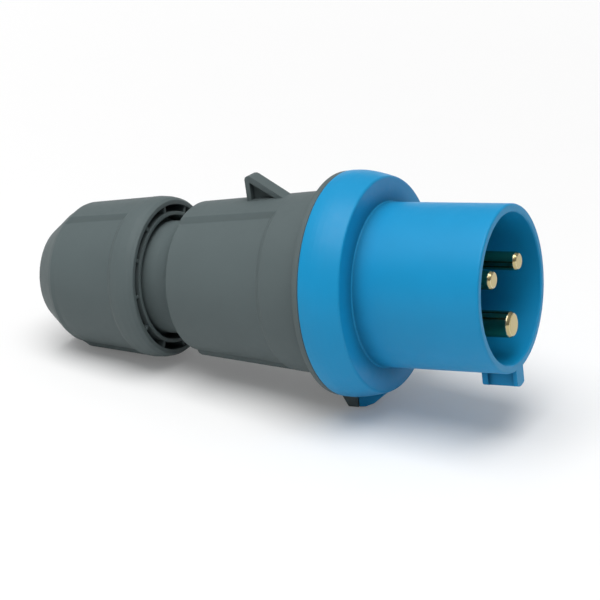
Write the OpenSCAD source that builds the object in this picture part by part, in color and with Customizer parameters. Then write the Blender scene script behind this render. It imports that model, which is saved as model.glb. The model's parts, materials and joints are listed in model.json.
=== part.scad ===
// Straight pin and sleeve plug, two poles and earth, with a screwed cable gland.
// Every piece is drawn along X with the rim of the sleeve at x = 0 and the cable end towards -X.
// lay_down() then tips the whole plug onto its lug and the shoulder of its nut, as it comes to rest.
// Millimetres and degrees. Angles around the plug start at the bottom and turn towards +Y.

/* [Sleeve] */
// Outer radius of the sleeve
sleeve_r = 22; // [18:0.1:32]
// Wall of the sleeve
sleeve_wall = 2.2; // [1.6:0.1:3]
// Rim of the sleeve to the face of the flange
sleeve_len = 35.3; // [30:0.1:50]
// Rim of the sleeve to the floor between the pins
cavity_depth = 36; // [30:0.1:50]
// Thickness of the floor that carries the pins
floor_t = 4; // [3:0.1:6]
// Hollow fillet between sleeve and flange
root_fillet = 0.4; // [0.2:0.1:6]
// Rounding of the rim
rim_round = 0.5; // [0.2:0.1:0.8]

/* [Flange] */
// Radius of the flange at its front edge
flange_front_r = 28.9; // [26:0.1:38]
// Largest radius of the flange band
flange_r = 30.5; // [27:0.1:40]
// Length of the coloured band
flange_len = 11.2; // [8:0.1:16]
// Wall of the band and of the front face
flange_wall = 2.4; // [1.8:0.1:3.5]

/* [Key] */
// Width of the key under the rim
key_w = 4.6; // [4:0.1:8]
// Length of the key along the sleeve
key_len = 9.9; // [6:0.1:16]
// Height of the key above the sleeve
key_h = 4.5; // [2:0.1:5]
// Depth of the pocket in each side of the key
key_pocket = 1.2; // [0.4:0.1:1.6]
// Radius of the rounded underside of the key
key_bottom_r = 5; // [3:0.1:12]
// Width of the bar at the rear end of the key
key_bar = 1.6; // [1:0.1:2.5]
// Width of the bar at the front end of the key
key_front_bar = 1.1; // [0.8:0.1:2.5]

/* [Pins] */
// Radius of the circle that the pins stand on
pin_circle_r = 9.75; // [8:0.1:16]
// Diameter of the line and neutral pins
pin_d = 5; // [4:0.1:8]
// Diameter of the earth pin
earth_d = 7; // [5:0.1:10]
// Rim of the sleeve to the tips of the line and neutral pins
pin_set_back = 1; // [0.5:0.1:6]
// Rim of the sleeve to the tip of the earth pin, which meets its contact first
earth_set_back = 0.4; // [0.3:0.1:6]
// Length of the tapered tip
tip_len = 0.9; // [0.5:0.1:3]
// Radius of the tip face against the radius of the pin
tip_share = 0.68; // [0.4:0.01:0.9]

/* [Terminals] */
// Diameter of the barrel behind the floor
barrel_d = 9; // [8:0.1:12]
// Diameter of the terminal end of a pin
terminal_d = 7.8; // [6.6:0.1:8.6]
// Diameter of the hole for the wire
wire_hole_d = 4.4; // [3:0.1:5]
// Length of the terminal end
terminal_len = 16; // [12:0.1:20]
// Diameter of the clamping screws
clamp_screw_d = 3.8; // [3:0.1:4]
// Length of the contact carrier
carrier_len = 16; // [12:0.1:20]

/* [Housing] */
// Radius of the grip at its rear end
grip_rear_r = 21.52; // [18:0.01:30]
// Radius of the grip where it meets the lip
grip_front_r = 25.46; // [20:0.01:35]
// Rim of the sleeve to the rear end of the grip
grip_rear_x = 93.4; // [80:0.1:130]
// Depth of the long side panels
panel_depth = 1.2; // [0.5:0.05:2]
// Half angle of the raised strips at top and bottom
strip_half = 22.5; // [12:0.5:40]
// Lean of the flanks of the strips, which lets the mould open up and down
strip_lean = 50; // [20:1:60]
// Rim of the sleeve to the front end of the side panels
panel_front_x = 61.3; // [56:0.1:80]
// Radius of the lip behind the coloured band
lip_r = 30.2; // [26:0.1:39]
// Thickness of the lip
lip_t = 1.9; // [1.2:0.1:4]
// Radius of the bare neck
neck_r = 15.9; // [12:0.1:20]
// Hollow fillet between neck and grip
neck_fillet = 7; // [3:0.1:9]
// Radius over the thread of the neck
thread_r = 17; // [13:0.1:21]
// Rim of the sleeve to the rear end of the neck
neck_end_x = 115; // [105:0.1:150]
// Wall of the grip behind its panels
grip_wall = 2.2; // [1.6:0.1:3]

/* [Catch] */
// Width of the catch on top of the grip
catch_w = 4.5; // [3:0.1:8]
// Height of the catch over the axis
catch_top = 30; // [27:0.1:38]
// Rim of the sleeve to the rear face of the catch
catch_rear_x = 74.6; // [66:0.1:85]
// Rim of the sleeve to the front end of the ramp
catch_front_x = 62.6; // [56:0.1:70]
// Thickness of the upright rear wall of the catch
catch_wall = 1.4; // [1:0.1:3]
// Thickness of the web between the two side pockets
catch_web = 0.8; // [0.8:0.1:2.5]

/* [Lugs] */
// Width of the lugs under the joint
lug_w = 10; // [6:0.1:16]
// Radius at the foot of the lugs
lug_foot_r = 33.7; // [31:0.1:44]
// Hollow along the foot, so that the plug stands on the two side edges of the lug
foot_hollow = 0.3; // [0.1:0.05:0.8]

/* [Bayonet] */
// Outer radius of the spigot inside the grip
spigot_r = 21.5; // [18:0.1:26]
// Rim of the sleeve to the rear end of the spigot
spigot_end_x = 57.5; // [54:0.1:62]
// Radius over the bayonet teeth
tooth_r = 23.1; // [20:0.1:28]
// Angle that each tooth covers
tooth_angle = 22; // [10:1:40]
// Turn from locked to open
twist = 25; // [15:1:40]

/* [Gland nut] */
// Rim of the sleeve to the mouth of the nut
nut_mouth_x = 102.8; // [98:0.1:130]
// Rim of the sleeve to the rear face of the nut
nut_rear_x = 140.5; // [130:0.1:180]
// Largest radius of the nut, at its collar
nut_collar_r = 22.85; // [18:0.1:30]
// Radius of the nut at its rear shoulder
nut_shoulder_r = 20.92; // [16:0.1:28]
// Radius of the rear face of the nut
nut_rear_r = 14.2; // [10:0.1:20]
// Radius of the hole for the cable
nut_hole_r = 8.5; // [6:0.1:12]
// Depth of the side panels of the nut
nut_panel_depth = 1.1; // [0.5:0.05:2]
// Inner radius of the threaded sleeve in the nut
nut_thread_r = 17.5; // [14:0.1:22]
// Wall of the threaded sleeve
nut_sleeve_wall = 1.1; // [0.8:0.1:2]
// Ribs between the two walls of the nut
nut_ribs = 12; // [6:1:24]

/* [Gland] */
// Radius of the hole in the cable seal
seal_hole_r = 6; // [4:0.1:8]
// Outer radius of the cable seal
seal_r = 11.5; // [10:0.1:13]
// Fingers of the clamping cage
cage_fingers = 10; // [6:1:16]
// Slot between two fingers
cage_slot = 1.6; // [0.8:0.1:3]

/* [Colours] */
// Colour of the front piece
front_colour = [0.10, 0.52, 0.78];
// Colour of the grip and the nut
grip_colour = [0.36, 0.39, 0.40];
// Colour of the pins
brass_colour = [0.80, 0.66, 0.38];
// Colour of the rubber pieces
rubber_colour = [0.09, 0.09, 0.10];
// Colour of the steel pieces
steel_colour = [0.66, 0.67, 0.69];
// Colour of the carrier and the cage
carrier_colour = [0.16, 0.17, 0.18];

/* [Hidden] */
$fn = 96;
gap = 0.1;
root_step = 0.3;
bore_r = sleeve_r - sleeve_wall;
floor_rear = -cavity_depth - floor_t;
joint_x = -sleeve_len - flange_len;
lip_front = joint_x - 0.15;
lip_rear = lip_front - lip_t;
seat_r = spigot_r + 2.5;
grip_slope = (grip_front_r - grip_rear_r) / (lip_rear + grip_rear_x);
function grip_r(x) = grip_rear_r + grip_slope * (x + grip_rear_x);
function panel_r(x) = grip_r(x) - panel_depth;
ramp_len = 2.2;
function ramp_point(x, t, r, depth) = [r - depth * (1 - t * t * (3 - 2 * t)), x - ramp_len * (1 - t)];
carrier_rear = floor_rear - carrier_len;
barrel_end = carrier_rear + 2;
terminal_end = barrel_end - terminal_len;
screw_x = terminal_end + 6;
tooth_front = -53.5;
tooth_rear = -56.5;
pin_angles = [0, 120, 240];
fixing_angles = [60, 300];
fixing_r = 12.5;
collar_x = -nut_mouth_x - 4.9;
shoulder_x = -nut_rear_x + 10.3;
nut_slope = (nut_collar_r - nut_shoulder_r) / (collar_x - shoulder_x);
function nut_r(x) = nut_shoulder_r + nut_slope * (x - shoulder_x);
function nut_cone_r(x) = nut_rear_r + (nut_shoulder_r - nut_rear_r) * (x + nut_rear_x - 0.5) / 9.3;
nut_panel_front = -nut_mouth_x - 6.7;
nut_seat_x = -nut_rear_x + 8.5;
ring_t = 2.3;
cage_tip = nut_seat_x + ring_t + 4.7;
foot_x = -49.2;
rest_x = shoulder_x + 0.4;
pitch = atan((lug_foot_r - nut_r(rest_x)) / (foot_x - rest_x));
front_reach = (sleeve_r + key_h) * sin(pitch);
rear_reach = -nut_rear_x * cos(pitch) - (nut_rear_r - 0.8) * sin(pitch);
shift_x = -(front_reach + rear_reach) / 2;
lift = -(foot_x * sin(pitch) - lug_foot_r * cos(pitch));

// Lays the finished plug on the floor, nose up, with its box centred over the origin
module lay_down() {
  translate([shift_x, 0, lift])
    rotate([0, -pitch, 0])
      children();
}

// Turns a profile of [radius, x] points around the axis of the plug
module turned(start = 0, sweep = 360) {
  rotate([0, 90, 0])
    rotate([0, 0, start])
      rotate_extrude(angle = sweep)
        children();
}

// Cylinder along the axis from x0 to x1
module rod(r, x0, x1) {
  translate([x0, 0, 0])
    rotate([0, 90, 0])
      cylinder(r = r, h = x1 - x0);
}

// Tube along the axis from x0 to x1
module tube(r_in, r_out, x0, x1) {
  turned()
    translate([r_in, x0])
      square([r_out - r_in, x1 - x0]);
}

// Block of a ring, from r0 to r1 and x0 to x1, that starts at an angle and covers a sweep
module sector(r0, r1, x0, x1, start, sweep) {
  turned(start, sweep)
    translate([r0, x0])
      square([r1 - r0, x1 - x0]);
}

// Puts children at an angle around the axis and at a distance from it
module around(angle, distance) {
  rotate([angle, 0, 0])
    translate([0, 0, -distance])
      children();
}

// Side outline of [x, z] points, as wide as asked across the plug
module side_plate(width, points) {
  translate([0, width / 2, 0])
    rotate([90, 0, 0])
      linear_extrude(height = width)
        polygon(points);
}

// Key under the rim, with a bar at each end and a thinner web between
module key_block() {
  low = -sleeve_r - key_h;
  difference() {
    intersection() {
      side_plate(key_w, [
        [-key_len, -sleeve_r + 1.2], [-key_len, low + 1], [-key_len + 0.3, low + 0.35],
        [-key_len + 0.9, low - 0.1], [0, low - 0.1], [0, -sleeve_r + 1.2]]);
      translate([0, 0, low + key_bottom_r])
        rod(key_bottom_r, -key_len - 1, 1);
    }
    for (side = [-1, 1])
      translate([-key_len + key_bar, side * key_w / 2 - key_pocket, low - 1])
        cube([key_len - key_bar - key_front_bar, 2 * key_pocket, key_h + 0.6]);
  }
}

// Outline of the sleeve, flange, floor and spigot as one moulding
module shroud_outline() {
  difference() {
    polygon([
      [0, -cavity_depth], [bore_r, -cavity_depth], [bore_r, -0.3], [bore_r + 0.3, 0],
      [sleeve_r - rim_round, 0], [sleeve_r - 0.15, -0.15], [sleeve_r, -rim_round],
      [sleeve_r, -sleeve_len + root_fillet], [sleeve_r + root_fillet, -sleeve_len + root_fillet],
      [sleeve_r + root_fillet, -sleeve_len],
      [flange_front_r - 0.5, -sleeve_len], [flange_front_r - 0.1, -sleeve_len - 0.15],
      [flange_front_r + 0.1, -sleeve_len - 0.5], [flange_front_r + 0.62, -sleeve_len - 2.4],
      [flange_front_r + 1.05, -sleeve_len - 4.2], [flange_front_r + 1.38, -sleeve_len - 6],
      [flange_r - 0.04, -sleeve_len - 7.6], [flange_r, -sleeve_len - 8.8],
      [flange_r - 0.05, joint_x + 0.9], [flange_r - 0.12, joint_x + 0.25], [flange_r - 0.3, joint_x],
      [flange_r - flange_wall, joint_x], [flange_r - flange_wall, -sleeve_len - flange_wall - 0.6],
      [flange_r - flange_wall - 0.6, -sleeve_len - flange_wall], [seat_r, -sleeve_len - flange_wall],
      [seat_r, joint_x], [spigot_r, joint_x], [spigot_r, -spigot_end_x + 0.6],
      [spigot_r - 0.6, -spigot_end_x], [spigot_r - 2.2, -spigot_end_x], [spigot_r - 2.2, floor_rear],
      [0, floor_rear]]);
    translate([sleeve_r + root_fillet, -sleeve_len + root_fillet])
      circle(r = root_fillet);
  }
}

// Coloured front piece: sleeve, flange, key, lug, floor and bayonet spigot
module shroud() {
  color(front_colour)
    lay_down()
      difference() {
        union() {
          turned()
            shroud_outline();
          key_block();
          side_plate(lug_w, [
            [joint_x + 0.7, -28.6], [joint_x + 0.7, -lug_foot_r + 0.1], [-44, -lug_foot_r + 0.25],
            [-41.2, -32.3], [-38.2, -29.8], [-38.2, -28.6]]);
          for (a = [0, 120, 240])
            sector(spigot_r - 1, tooth_r, tooth_rear, tooth_front, a - tooth_angle / 2, tooth_angle);
        }
        around(pin_angles[0], pin_circle_r)
          rod(earth_d / 2 + root_step + 0.05, floor_rear - 1, -cavity_depth + 1);
        for (a = [pin_angles[1], pin_angles[2]])
          around(a, pin_circle_r)
            rod(pin_d / 2 + root_step + 0.05, floor_rear - 1, -cavity_depth + 1);
        for (a = fixing_angles)
          around(a, fixing_r)
            rod(1.45, floor_rear - 1, floor_rear + 2.8);
      }
}

// Insulating block that traps the pins behind the floor
module contact_carrier() {
  color(carrier_colour)
    lay_down()
      difference() {
        rod(spigot_r - 2.4, carrier_rear, floor_rear - 0.05);
        for (a = pin_angles)
          around(a, pin_circle_r) {
            rod(barrel_d / 2 + gap, barrel_end - 0.05, floor_rear + 1);
            rod(terminal_d / 2 + gap, carrier_rear - 1, floor_rear);
          }
        for (a = fixing_angles)
          around(a, fixing_r)
            rod(1.7, carrier_rear - 1, floor_rear + 1);
        for (a = [60, 180, 300])
          rotate([a, 0, 0])
            translate([carrier_rear - 1, -2.2, -spigot_r])
              cube([9, 4.4, 5.2]);
      }
}

// One turned pin with its barrel and its hollow terminal end
module pin(d, set_back, angle) {
  color(brass_colour)
    lay_down()
      around(angle, pin_circle_r)
        difference() {
          turned()
            polygon([
              [0, -set_back], [d / 2 * tip_share, -set_back],
              [d / 2 * (tip_share + 0.98) / 2, -set_back - tip_len * 0.16],
              [d / 2, -set_back - tip_len], [d / 2, -cavity_depth + 0.2],
              [d / 2 + root_step, -cavity_depth + 0.2], [d / 2 + root_step, floor_rear - 0.05],
              [barrel_d / 2, floor_rear - 0.05], [barrel_d / 2, barrel_end],
              [terminal_d / 2, barrel_end], [terminal_d / 2, terminal_end + 0.4],
              [terminal_d / 2 - 0.4, terminal_end], [0, terminal_end]]);
          rod(wire_hole_d / 2, terminal_end - 1, terminal_end + 12);
          translate([screw_x, 0, -terminal_d])
            cylinder(r = clamp_screw_d / 2 + 0.05, h = terminal_d);
        }
}

// Thick earth pin, in line with the key
module earth_pin() {
  pin(earth_d, earth_set_back, pin_angles[0]);
}

// Line pin
module line_pin() {
  pin(pin_d, pin_set_back, pin_angles[1]);
}

// Neutral pin
module neutral_pin() {
  pin(pin_d, pin_set_back, pin_angles[2]);
}

// Leaf springs that keep the clamping screws off the strands
module wire_guards() {
  color(steel_colour)
    lay_down()
      for (a = pin_angles)
        around(a, pin_circle_r)
          translate([screw_x - 4.5, -1.45, -1.6])
            cube([9, 2.9, 0.35]);
}

// Slotted clamping screws, one in the side of each terminal
module terminal_screws() {
  color(steel_colour)
    lay_down()
      for (a = pin_angles)
        around(a, pin_circle_r)
          translate([screw_x, 0, 0])
            difference() {
              union() {
                translate([0, 0, -4.5])
                  cylinder(r = clamp_screw_d / 2, h = 2.85);
                translate([0, 0, -6.4])
                  cylinder(r1 = 2.7, r2 = 3, h = 2);
              }
              translate([-4, -0.4, -7.4])
                cube([8, 0.8, 2]);
            }
}

// Two screws that hold the carrier to the floor of the front piece
module carrier_screws() {
  color(steel_colour)
    lay_down()
      for (a = fixing_angles)
        around(a, fixing_r)
          difference() {
            union() {
              rod(1.4, carrier_rear - 0.5, floor_rear + 2.5);
              rod(2.8, carrier_rear - 2.2, carrier_rear - 0.05);
            }
            translate([carrier_rear - 3.2, -0.4, -4])
              cube([2, 0.8, 8]);
          }
}

// Rubber ring around the spigot, squeezed by the grip
module front_gasket() {
  color(rubber_colour)
    lay_down()
      turned()
        polygon([
          [spigot_r + 0.05, lip_rear + 0.1], [spigot_r + 1.7, lip_rear + 0.1],
          [spigot_r + 2, lip_rear + 0.4], [spigot_r + 2, joint_x - 0.35],
          [spigot_r + 1.7, joint_x - 0.05], [spigot_r + 0.05, joint_x - 0.05]]);
}

// Neck and grip outline, with the sunk side panels all the way around
module grip_outline() {
  fillet_x = -grip_rear_x - neck_fillet + 0.9;
  difference() {
    polygon([
      [0, -neck_end_x], [thread_r - 0.8, -neck_end_x], [thread_r, -neck_end_x + 0.8],
      [thread_r, -107.6], [neck_r, -106.6], [neck_r, fillet_x],
      [neck_r + neck_fillet, fillet_x], [panel_r(-grip_rear_x), -grip_rear_x + 0.6],
      for (t = [0 : 0.25 : 1])
        ramp_point(-panel_front_x, t, grip_r(-panel_front_x - ramp_len * (1 - t)), panel_depth),
      [grip_front_r, lip_rear], [0, lip_rear]]);
    translate([neck_r + neck_fillet, fillet_x])
      circle(r = neck_fillet);
  }
}

// Raised strip over the panels, rounded at its rear end
module strip_outline() {
  polygon([
    [panel_r(-grip_rear_x) - 0.9, -grip_rear_x + 0.9], [grip_rear_r - 0.8, -grip_rear_x + 0.5],
    [grip_rear_r - 0.25, -grip_rear_x + 0.65], [grip_r(-grip_rear_x + 1.2) - 0.03, -grip_rear_x + 1.2],
    [grip_r(-panel_front_x + 1) - 0.03, -panel_front_x + 1],
    [panel_r(-panel_front_x + 1) - 0.7, -panel_front_x + 1]]);
}

// Cutter for one flank of a strip: its face holds the edge line of the strip and leans down to the panel
module strip_flank(angle, side, r, x, slope, length) {
  rotate([angle + side * strip_half, 0, 0])
    translate([x, 0, -r])
      rotate([0, atan(slope), 0])
        rotate([-side * strip_lean, 0, 0])
          translate([-6, side * 6 - 6, -6])
            cube([length + 9, 12, 18]);
}

// Strips at top and bottom of a tapered piece, with leaning flanks
module strips(r, x, slope, length) {
  for (a = [0, 180])
    difference() {
      turned(a - strip_half - 12, 2 * strip_half + 24)
        children();
      for (side = [-1, 1])
        strip_flank(a, side, r, x, slope, length);
    }
}

// Catch for the sprung lid of a socket: a ramp, an upright rear wall and a pocket in each side
module lid_catch() {
  foot = grip_r(-catch_rear_x) - 1;
  sill = grip_r(-catch_rear_x) + 0.2;
  difference() {
    side_plate(catch_w, [
      [-catch_rear_x, foot], [-catch_rear_x - 0.1, catch_top - 1], [-catch_rear_x + 0.1, catch_top - 0.4],
      [-catch_rear_x + 0.6, catch_top - 0.05], [-catch_rear_x + 1.5, catch_top],
      [-catch_rear_x + 2.1, catch_top - 0.25], [-catch_front_x, grip_r(-catch_front_x) - 0.6],
      [-catch_front_x, foot]]);
    for (side = [-1, 1])
      translate([0, side * (catch_w + catch_web) / 2, 0])
        side_plate(catch_w, [
          [-catch_rear_x + catch_wall, sill], [-catch_rear_x + catch_wall - 0.1, catch_top - 1.9],
          [-catch_rear_x + catch_wall + 0.3, catch_top - 2], [-catch_rear_x + 8.6, sill + 0.6]]);
  }
}

// Grey half of the lug: its side profile over a foot that is hollow along the middle
module grip_lug() {
  slope = (foot_x + 50.8) / (lug_foot_r - 30.6);
  intersection() {
    side_plate(lug_w + 2, [
      [lip_rear + 0.3, -28.2], [-50.2, -29.4], [-50.8, -30.6], [foot_x + slope, -lug_foot_r - 1],
      [joint_x + 0.4, -lug_foot_r - 1], [joint_x + 0.4, -30.95], [lip_front - 0.1, -30.75],
      [lip_front - 0.1, -28.2]]);
    translate([-52, 0, 0])
      rotate([90, 0, 90])
        linear_extrude(height = 6)
          polygon([
            [-lug_w / 2, -28], [-lug_w / 2, -lug_foot_r], [0, -lug_foot_r + foot_hollow],
            [lug_w / 2, -lug_foot_r], [lug_w / 2, -28]]);
  }
}

// Grip with its neck, lip, catch and lug
module housing() {
  color(grip_colour)
    lay_down()
      difference() {
        union() {
          turned()
            grip_outline();
          strips(grip_rear_r, -grip_rear_x, grip_slope, grip_rear_x - panel_front_x)
            strip_outline();
          turned()
            polygon([
              [0, lip_rear], [lip_r - 0.6, lip_rear], [lip_r - 0.15, lip_rear + 0.25],
              [lip_r, lip_rear + 0.8], [lip_r, lip_front - 0.12], [lip_r - 0.12, lip_front],
              [0, lip_front]]);
          lid_catch();
          grip_lug();
        }
        turned()
          polygon([
            [0, -neck_end_x - 1], [13, -neck_end_x - 1], [13, -108.5], [11, -108.5], [11, -101],
            [panel_r(-91) - grip_wall, -91], [panel_r(-64) - grip_wall, -64],
            [spigot_r + 0.2, -spigot_end_x - 1.1], [spigot_r + 0.2, lip_front + 1],
            [0, lip_front + 1]]);
        tube(spigot_r, spigot_r + 2.2, lip_rear, lip_front + 1);
        for (a = [0, 120, 240]) {
          sector(spigot_r - 1, tooth_r + 0.3, tooth_rear - 0.3, tooth_front + 0.3,
            a - tooth_angle / 2 - 0.8, tooth_angle + twist + 1.6);
          sector(spigot_r - 1, tooth_r + 0.2, tooth_front - 1, lip_front + 1,
            a - tooth_angle / 2 + twist - 0.6, tooth_angle + 1.2);
        }
      }
}

// Rubber sleeve that grips and seals the cable
module cable_seal() {
  color(rubber_colour)
    lay_down()
      turned()
        polygon([
          [seal_hole_r, -109.6], [seal_r - 0.8, -109.6], [seal_r, -110.4], [seal_r, cage_tip + 1],
          [seal_r - 0.6, cage_tip + 0.4], [seal_hole_r, cage_tip + 0.4]]);
}

// Ring of springy fingers that the nut closes on the seal
module clamp_cage() {
  color(carrier_colour)
    lay_down()
      difference() {
        turned()
          polygon([
            [seal_r + gap, -109.5], [12.9, -109.5], [12.9, -neck_end_x - 0.05],
            [16.5, -neck_end_x - 0.05], [16.5, -neck_end_x - 2], [14.8, -neck_end_x - 2.4],
            [13.8, cage_tip + 0.6], [13.2, cage_tip], [seal_r + gap, cage_tip]]);
        for (i = [0 : cage_fingers - 1])
          rotate([i * 360 / cage_fingers, 0, 0])
            translate([cage_tip - 1, -cage_slot / 2, -18])
              cube([-neck_end_x - 2.6 - cage_tip + 1, cage_slot, 10]);
      }
}

// Thrust ring between the turning nut and the cage
module slip_ring() {
  color(carrier_colour)
    lay_down()
      turned()
        polygon([
          [11.2, nut_seat_x + 0.05], [nut_thread_r - 0.08, nut_seat_x + 0.05],
          [nut_thread_r - 0.08, nut_seat_x + ring_t], [13.4, nut_seat_x + ring_t],
          [11.2, nut_seat_x + 0.9]]);
}

// Outside of the nut, with the sunk side panels all the way around
module nut_outline() {
  polygon([
    [0, -nut_rear_x], [nut_rear_r - 0.8, -nut_rear_x], [nut_rear_r, -nut_rear_x + 0.5],
    [nut_cone_r(shoulder_x - 3.2), shoulder_x - 3.2],
    [nut_cone_r(shoulder_x - 2) - 0.2, shoulder_x - 2],
    [nut_r(shoulder_x - 0.6) - nut_panel_depth - 0.15, shoulder_x - 0.7],
    [nut_r(shoulder_x + 0.8) - nut_panel_depth, shoulder_x + 0.8],
    for (t = [0 : 0.25 : 1])
      ramp_point(nut_panel_front, t, nut_r(nut_panel_front - ramp_len * (1 - t)), nut_panel_depth),
    [nut_collar_r, collar_x], [nut_collar_r - 0.08, -nut_mouth_x - 2.6],
    [nut_collar_r - 0.4, -nut_mouth_x - 1], [nut_collar_r - 1.1, -nut_mouth_x],
    [0, -nut_mouth_x]]);
}

// Raised strip over the panels of the nut; its rear end carries on the cone
module nut_strip_outline() {
  polygon([
    [nut_cone_r(shoulder_x - 4.2) - 0.8, shoulder_x - 4.2],
    [nut_cone_r(shoulder_x - 4.2) + 0.04, shoulder_x - 4.2],
    [nut_cone_r(shoulder_x - 3.2) + 0.04, shoulder_x - 3.2], [nut_shoulder_r - 0.7, shoulder_x - 0.95], [nut_shoulder_r - 0.2, shoulder_x - 0.4],
    [nut_r(shoulder_x + 0.4), shoulder_x + 0.4], [nut_r(nut_panel_front + 0.6) - 0.03, nut_panel_front + 0.6],
    [nut_r(nut_panel_front + 0.6) - nut_panel_depth - 0.6, nut_panel_front + 0.6]]);
}

// Cable nut: outer skirt and threaded sleeve joined by ribs, open towards the grip
module gland_nut() {
  sleeve_out = nut_thread_r + nut_sleeve_wall;
  color(grip_colour)
    lay_down()
      difference() {
        union() {
          turned()
            nut_outline();
          strips(nut_shoulder_r, shoulder_x, nut_slope, nut_panel_front - shoulder_x)
            nut_strip_outline();
        }
        turned()
          polygon([
            [0, -nut_rear_x - 1], [nut_hole_r, -nut_rear_x - 1], [nut_hole_r, -nut_rear_x + 1.8],
            [nut_hole_r + 0.7, -nut_rear_x + 2.4], [nut_thread_r - 2.8, nut_seat_x],
            [nut_thread_r, nut_seat_x], [nut_thread_r, -nut_mouth_x - 0.4],
            [nut_thread_r + 0.4, -nut_mouth_x + 1], [0, -nut_mouth_x + 1]]);
        difference() {
          turned()
            polygon([
              [sleeve_out, -121.5], [sleeve_out + 0.5, -121.5], [sleeve_out + 1.6, -108.5],
              [sleeve_out + 2, -nut_mouth_x - 2], [sleeve_out + 2, -nut_mouth_x + 1],
              [sleeve_out, -nut_mouth_x + 1]]);
          for (i = [0 : nut_ribs - 1])
            rotate([i * 360 / nut_ribs, 0, 0])
              translate([-125, -0.45, -22])
                cube([125 - nut_mouth_x - 0.5, 0.9, 8]);
        }
      }
}

shroud();
contact_carrier();
earth_pin();
line_pin();
neutral_pin();
wire_guards();
terminal_screws();
carrier_screws();
front_gasket();
housing();
cable_seal();
clamp_cage();
slip_ring();
gland_nut();
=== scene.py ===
"""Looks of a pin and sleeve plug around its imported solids: plastics, brass, rubber, light and camera."""

import json
import math

import bpy
from mathutils import Matrix, Vector

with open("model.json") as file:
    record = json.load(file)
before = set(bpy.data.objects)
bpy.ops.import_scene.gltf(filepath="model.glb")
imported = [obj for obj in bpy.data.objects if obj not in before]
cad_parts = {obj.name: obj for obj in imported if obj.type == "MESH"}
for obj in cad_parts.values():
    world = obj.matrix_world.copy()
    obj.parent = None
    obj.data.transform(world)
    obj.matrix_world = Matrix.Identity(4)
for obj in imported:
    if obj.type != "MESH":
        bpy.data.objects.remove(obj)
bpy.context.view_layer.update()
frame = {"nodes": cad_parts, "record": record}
nodes = frame["nodes"]
mounts = {mount["name"]: mount for mount in frame["record"]["mounts"]}
MM = 0.001

# Photograph: the camera in the plug's own frame, and the lens
PHOTO_SIZE = 600
AIM_BEHIND_RIM = 60 * MM
CAMERA_AZIMUTH = 30.123
CAMERA_ELEVATION = 15.892
CAMERA_ROLL = -6.968
CAMERA_DISTANCE = 517.79 * MM
FOCAL_PIXELS = 1901.04
CENTRE_PIXEL = (308.19, 281.40)
SENSOR_WIDTH = 36.0

# Colours as linear light
BLUE = (0.006, 0.287, 0.578)
GREY = (0.106, 0.135, 0.138)
BRASS = (0.50, 0.42, 0.21)
# Pale brass for the edges: partly rubbed bright, partly a painted highlight of the rim
BRASS_EDGE_WEAR_AND_HIGHLIGHT = (0.86, 0.82, 0.66)
RUBBER = (0.018, 0.018, 0.019)
STEEL = (0.58, 0.58, 0.60)
GLASS_FILLED = (0.030, 0.032, 0.035)
FLOOR = (0.80, 0.80, 0.80)
WHITE = (1, 1, 1, 1)

# Mouldings: gloss, depth of grain, rounding of edges, and tints of the painted shade in corners and of the
# painted highlight on edges
BLUE_FINISH = dict(roughness=0.42, gloss=0.24, grain=0.10, rounding=0.3 * MM, painted_shade_tint=0.42, edge_highlight_tint=1.2)
GREY_FINISH = dict(roughness=0.54, gloss=0.20, grain=0.22, rounding=0.4 * MM, painted_shade_tint=0.8, edge_highlight_tint=1.6)
CLOUDINESS = 0.03
# Reach of the painted shade in corners and pockets, and the extra roughness there
CORNER_REACH = 6 * MM
CORNER_ROUGHNESS = 0.4
PIN_ROUNDING = 0.5 * MM

# Light: one softbox above, and a dome that brightens from horizon to zenith
LAMP_PLACE = Vector((-0.02, -0.34, 1.25))
LAMP_WIDTH = 1.1
LAMP_POWER = 16.0
HORIZON = 0.07
ZENITH = 0.48

# Stage: its size, and the share of white that floor and backdrop show by themselves
STAGE_RADIUS = 5.5
STAGE_SIDES = 96
BACKDROP_HEIGHT = 1.1
NEAR_GLOW = 0.135
FAR_GLOW = 0.71
BACKDROP_GLOW = 0.87


def plug_frame():
    """Matrix from the plug's own frame, X forward from the rim of the sleeve, to the row frame."""
    rim = mounts["sleeve"]
    forward = Vector(rim["axis"]).normalized()
    side = Vector((0, 1, 0))
    up = forward.cross(side)
    turn = Matrix((forward, side, up)).transposed().to_4x4()
    return Matrix.Translation(rim["pos_m"]) @ turn


PLUG = plug_frame()


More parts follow.
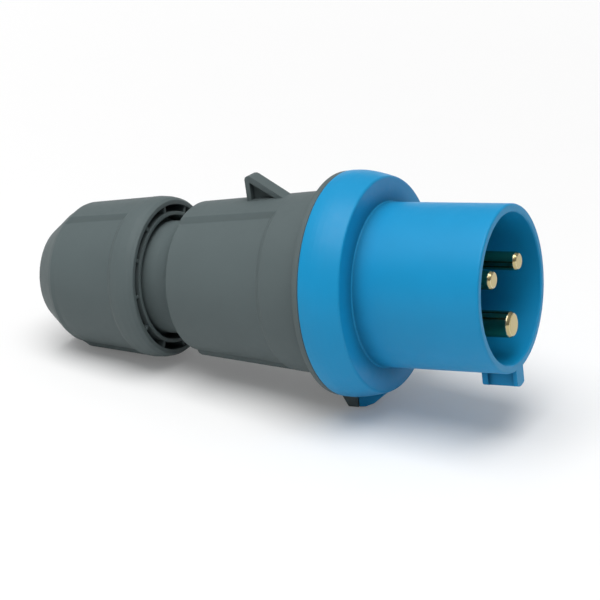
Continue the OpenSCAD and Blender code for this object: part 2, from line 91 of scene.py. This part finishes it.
# Node helpers
class Tree:
    """Short names for building the nodes of a material or of the world."""

    def __init__(self, block):
        self.block = block
        block.use_nodes = True
        self.nodes = block.node_tree.nodes
        self.links = block.node_tree.links

    def feed(self, socket, value):
        """Links an input to another node's output, or sets it to a plain value."""
        if isinstance(value, bpy.types.NodeSocket):
            self.links.new(value, socket)
        else:
            socket.default_value = value

    def put(self, node, key, value):
        """Sets an input of a node, or a property where no input has that name."""
        if key in node.inputs:
            self.feed(node.inputs[key], value)
        else:
            setattr(node, key, value)

    def add(self, kind, **settings):
        """A new node with its properties and inputs set."""
        node = self.nodes.new(kind)
        for key, value in settings.items():
            self.put(node, key, value)
        return node

    def set(self, **values):
        """Inputs of the shader, with their names written with underscores."""
        for key, value in values.items():
            self.put(self.nodes["Principled BSDF"], key.replace("_", " "), value)

    def coordinates(self):
        return self.add("ShaderNodeTexCoord").outputs["Object"]

    def noise(self, where, scale, detail=2.0, roughness=0.5):
        """Cloudy noise with about scale cells for each metre."""
        node = self.add("ShaderNodeTexNoise", Vector=where, Scale=scale, Detail=detail, Roughness=roughness)
        return node.outputs["Fac"]

    def spread(self, value, low, high, start=0.3, end=0.7):
        """Maps start to end of a value onto low to high."""
        limits = {"From Min": start, "From Max": end, "To Min": low, "To Max": high}
        return self.add("ShaderNodeMapRange", Value=value, **limits).outputs["Result"]

    def sums(self, operation, first, second):
        node = self.add("ShaderNodeMath", operation=operation)
        self.feed(node.inputs[0], first)
        self.feed(node.inputs[1], second)
        return node.outputs["Value"]

    def blend(self, share, first, second):
        """Colour between two colours."""
        node = self.add("ShaderNodeMix", data_type="RGBA", Factor=share)
        colour_inputs = [socket for socket in node.inputs if socket.type == "RGBA"]
        for socket, colour in zip(colour_inputs, (first, second)):
            self.feed(socket, (*colour, 1) if isinstance(colour, tuple) else colour)
        return next(socket for socket in node.outputs if socket.type == "RGBA")

    def soft_edges(self, radius):
        """Normal with edges rounded to a radius, and how far it turns from the plain normal."""
        soft = self.add("ShaderNodeBevel", samples=6, Radius=radius).outputs["Normal"]
        plain = self.add("ShaderNodeNewGeometry").outputs["Normal"]
        likeness = self.add("ShaderNodeVectorMath", operation="DOT_PRODUCT")
        self.feed(likeness.inputs[0], soft)
        self.feed(likeness.inputs[1], plain)
        return soft, self.sums("SUBTRACT", 1.0, likeness.outputs["Value"])

    def occlusion_shade(self, reach):
        """Share of occlusion shade in corners and pockets of the piece itself, used as painted shade: 0 in
        the open, 1 deep inside.
        """
        sky = self.add("ShaderNodeAmbientOcclusion", samples=8, only_local=True, Distance=reach)
        return self.spread(sky.outputs["AO"], low=1, high=0, start=0.35, end=0.95)

    def bump(self, height, strength, depth, normal=None):
        node = self.add("ShaderNodeBump", Height=height, Strength=strength, Distance=depth)
        if normal is not None:
            self.feed(node.inputs["Normal"], normal)
        return node.outputs["Normal"]


def material(name):
    return Tree(bpy.data.materials.new(name))


def tint(colour, factor):
    return tuple(min(1.0, channel * factor) for channel in colour)


# Materials
def moulded(name, colour, roughness, gloss, grain, rounding, painted_shade_tint, edge_highlight_tint):
    """Moulded plastic: fine grain, cloudy gloss, painted shade in corners and pockets, and rounded edges
    painted a little lighter as a highlight.
    """
    t = material(name)
    where = t.coordinates()
    soft, turn = t.soft_edges(rounding)
    painted_corner_shade = t.occlusion_shade(CORNER_REACH)
    clouds = t.spread(t.noise(where, scale=55, detail=3.0), low=0, high=1)
    open_body = t.blend(clouds, tint(colour, 1 - CLOUDINESS), tint(colour, 1 + CLOUDINESS))
    # Painted shade: the colour is darkened in corners and pockets, where occlusion shade falls
    body = t.blend(painted_corner_shade, open_body, tint(colour, painted_shade_tint))
    # Painted highlight: rounded outer edges are lightened in the colour, away from the shaded corners
    edge_highlight_share = t.spread(turn, low=0, high=0.3, start=0.02, end=0.3)
    painted_edge_highlight = t.sums("MULTIPLY", edge_highlight_share, t.sums("SUBTRACT", 1.0, painted_corner_shade))
    t.set(Base_Color=t.blend(painted_edge_highlight, body, tint(colour, edge_highlight_tint)))
    sheen = t.spread(t.noise(where, scale=420), low=roughness - 0.03, high=roughness + 0.04)
    t.set(Roughness=t.sums("ADD", sheen, t.sums("MULTIPLY", painted_corner_shade, CORNER_ROUGHNESS)))
    wave = t.bump(t.noise(where, scale=90), strength=0.05, depth=0.3 * MM, normal=soft)
    pits = t.noise(where, scale=3200, detail=3.0, roughness=0.6)
    t.set(Normal=t.bump(pits, strength=grain, depth=0.05 * MM, normal=wave))
    t.set(IOR=1.5, Specular_IOR_Level=gloss)
    return t.block


def rubber(name):
    """Black rubber with a dry, slightly dusty skin."""
    t = material(name)
    where = t.coordinates()
    blotches = t.noise(where, scale=140, detail=4.0, roughness=0.6)
    dust = t.spread(blotches, low=0, high=1, start=0.45, end=0.75)
    dusty = tint(RUBBER, 2.0)
    t.set(Base_Color=t.blend(dust, RUBBER, dusty))
    t.set(Roughness=t.spread(t.noise(where, scale=300), low=0.62, high=0.8))
    t.set(Normal=t.bump(t.noise(where, scale=2400, detail=3.0), strength=0.3, depth=0.04 * MM))
    return t.block


def glass_filled(name):
    """Dark glass-filled plastic with pale flecks."""
    t = material(name)
    where = t.coordinates()
    flecks = t.spread(t.noise(where, scale=1600), low=0, high=1, start=0.62, end=0.72)
    pale = tint(GLASS_FILLED, 2.6)
    t.set(Base_Color=t.blend(flecks, GLASS_FILLED, pale))
    t.set(Roughness=t.spread(t.noise(where, scale=500), low=0.45, high=0.6))
    t.set(Normal=t.bump(t.noise(where, scale=1800, detail=3.0), strength=0.25, depth=0.05 * MM))
    return t.block


def plated_steel(name):
    """Zinc plated steel with a cloudy shine."""
    t = material(name)
    where = t.coordinates()
    clouds = t.spread(t.noise(where, scale=400, detail=3.0), low=0, high=1)
    dull = tint(STEEL, 0.85)
    t.set(Base_Color=t.blend(clouds, STEEL, dull), Metallic=1.0)
    t.set(Roughness=t.spread(t.noise(where, scale=900), low=0.28, high=0.42))
    t.set(Normal=t.bump(t.noise(where, scale=3000), strength=0.1, depth=0.02 * MM))
    return t.block


def pin_coordinates(t, mount):
    """Coordinates with X along a pin and their origin in its middle."""
    pin = PLUG.to_3x3().to_4x4()
    pin.translation = Vector(mount["pos_m"])
    inverse = pin.inverted()
    local = t.add("ShaderNodeMapping", Vector=t.coordinates())
    local.inputs["Location"].default_value = inverse.translation
    local.inputs["Rotation"].default_value = inverse.to_euler()
    return local.outputs["Vector"]


def turned_brass(name, mount):
    """Brass turned on a lathe: fine rings on the tip, bands along the shaft, edges paler, partly rubbed
    bright and partly a painted highlight.
    """
    t = material(name)
    where = pin_coordinates(t, mount)
    rings = t.add("ShaderNodeTexWave", Vector=where, Scale=900, Distortion=0.4,
                  wave_type="RINGS", rings_direction="X").outputs["Fac"]
    bands = t.add("ShaderNodeTexWave", Vector=where, Scale=300, Distortion=0.6,
                  wave_type="BANDS", bands_direction="X").outputs["Fac"]
    soft, turn = t.soft_edges(PIN_ROUNDING)
    tarnish = t.spread(t.noise(where, scale=160, detail=3.0), low=0, high=1, start=0.4, end=0.7)
    tarnished = tint(BRASS, 0.93)
    body = t.blend(tarnish, BRASS, tarnished)
    # Paler edges: partly rubbed bright brass, partly a painted highlight of the tip's rim
    edge_highlight_share = t.spread(turn, low=0, high=1, start=0.005, end=0.12)
    t.set(Base_Color=t.blend(edge_highlight_share, body, BRASS_EDGE_WEAR_AND_HIGHLIGHT), Metallic=1.0)
    sheen = t.spread(t.noise(where, scale=300), low=0.14, high=0.17)
    t.set(Roughness=t.sums("ADD", sheen, t.spread(bands, low=0, high=0.02, start=0, end=1)))
    t.set(Normal=t.bump(rings, strength=0.04, depth=0.02 * MM, normal=soft))
    return t.block


def dress():
    """Gives each node its material."""
    blue = moulded("blue_plastic", BLUE, **BLUE_FINISH)
    grey = moulded("grey_plastic", GREY, **GREY_FINISH)
    dark = glass_filled("dark_plastic")
    black = rubber("black_rubber")
    steel = plated_steel("plated_steel")
    finish = {
        "shroud": blue,
        "housing": grey,
        "gland_nut": grey,
        "contact_carrier": dark,
        "clamp_cage": dark,
        "slip_ring": dark,
        "front_gasket": black,
        "cable_seal": black,
        "wire_guards": steel,
        "terminal_screws": steel,
        "carrier_screws": steel,
    }
    for pin in ("earth_pin", "line_pin", "neutral_pin"):
        finish[pin] = turned_brass(pin + "_brass", mounts[pin])
    for name, coat in finish.items():
        slots = nodes[name].data.materials
        slots.clear()
        slots.append(coat)


# Stage: pale paper that shows white to the camera and in reflections, without lighting the plug
def paper(name, near_glow, far_glow):
    """Matt paper, evenly pale: its own white grows outwards as the light of the lamp fades."""
    t = material(name)
    where = t.coordinates()
    paler = tint(FLOOR, 1.01)
    t.set(Base_Color=t.blend(t.noise(where, scale=30), FLOOR, paler))
    t.set(Roughness=0.9, Specular_IOR_Level=0.0)
    reach = t.add("ShaderNodeVectorMath", operation="LENGTH")
    t.feed(reach.inputs[0], where)
    slope = t.sums("DIVIDE", reach.outputs["Value"], LAMP_PLACE.z)
    lit = t.sums("POWER", t.sums("ADD", t.sums("POWER", slope, 2.0), 1.0), -2.0)
    glow = t.spread(lit, low=far_glow, high=near_glow, start=0.0, end=1.0)
    ray = t.add("ShaderNodeLightPath").outputs
    mirrored = t.sums("MAXIMUM", ray["Is Glossy Ray"], ray["Is Transmission Ray"])
    seen = t.sums("MAXIMUM", ray["Is Camera Ray"], mirrored)
    t.set(Emission_Color=WHITE, Emission_Strength=t.sums("MULTIPLY", seen, glow))
    return t.block


def add_object(name, data):
    piece = bpy.data.objects.new(name, data)
    bpy.context.scene.collection.objects.link(piece)
    return piece


def stage_piece(name, points, faces, coat):
    mesh = bpy.data.meshes.new(name)
    mesh.from_pydata(points, [], faces)
    mesh.materials.append(coat)
    add_object(name, mesh)


def make_stage():
    """Round floor and the low wall around it."""
    turns = [math.tau * i / STAGE_SIDES for i in range(STAGE_SIDES)]
    ring = [(STAGE_RADIUS * math.cos(a), STAGE_RADIUS * math.sin(a), 0) for a in turns]
    stage_piece("floor", ring, [range(STAGE_SIDES)], paper("floor_paper", NEAR_GLOW, FAR_GLOW))
    top = [(x, y, BACKDROP_HEIGHT) for x, y, z in ring]
    sides = [(i, (i - 1) % STAGE_SIDES) for i in range(STAGE_SIDES)]
    walls = [(a, b, STAGE_SIDES + b, STAGE_SIDES + a) for a, b in sides]
    stage_piece("backdrop", ring + top, walls, paper("backdrop_paper", BACKDROP_GLOW, BACKDROP_GLOW))


# Light
def make_lamp():
    """Square softbox that looks down at the plug."""
    lamp = bpy.data.lights.new("top_light", "AREA")
    lamp.shape = "RECTANGLE"
    lamp.size = LAMP_WIDTH
    lamp.size_y = LAMP_WIDTH
    lamp.energy = LAMP_POWER
    holder = add_object("top_light", lamp)
    holder.location = LAMP_PLACE
    holder.rotation_euler = (-LAMP_PLACE).to_track_quat("-Z", "Y").to_euler()


def make_dome():
    """World that is dim at the horizon and bright overhead."""
    t = Tree(bpy.data.worlds.new("studio"))
    direction = t.add("ShaderNodeTexCoord").outputs["Generated"]
    height = t.add("ShaderNodeSeparateXYZ", Vector=direction).outputs["Z"]
    sky = t.nodes["Background"]
    t.put(sky, "Color", WHITE)
    t.put(sky, "Strength", t.spread(height, low=HORIZON, high=ZENITH, start=0.0, end=1.0))
    bpy.context.scene.world = t.block


# Camera
def make_camera():
    azimuth = math.radians(CAMERA_AZIMUTH)
    elevation = math.radians(CAMERA_ELEVATION)
    level_back = Vector((math.sin(azimuth), -math.cos(azimuth), 0))
    back = level_back * math.cos(elevation) + Vector((0, 0, math.sin(elevation)))
    right = Vector((math.cos(azimuth), math.sin(azimuth), 0))
    level = Matrix((right, back.cross(right), back)).transposed()
    lens = bpy.data.cameras.new("photo_camera")
    lens.sensor_width = SENSOR_WIDTH
    lens.lens = FOCAL_PIXELS * SENSOR_WIDTH / PHOTO_SIZE
    lens.shift_x = (PHOTO_SIZE / 2 - CENTRE_PIXEL[0]) / PHOTO_SIZE
    lens.shift_y = (CENTRE_PIXEL[1] - PHOTO_SIZE / 2) / PHOTO_SIZE
    camera = add_object("photo_camera", lens)
    camera.rotation_mode = "QUATERNION"
    camera.location = PLUG @ (Vector((-AIM_BEHIND_RIM, 0, 0)) + back * CAMERA_DISTANCE)
    turn = PLUG.to_3x3() @ level @ Matrix.Rotation(math.radians(CAMERA_ROLL), 3, "Z")
    camera.rotation_quaternion = turn.to_quaternion()
    bpy.context.scene.camera = camera


dress()
make_stage()
make_lamp()
make_dome()
make_camera()
bpy.context.scene.view_settings.view_transform = "Standard"
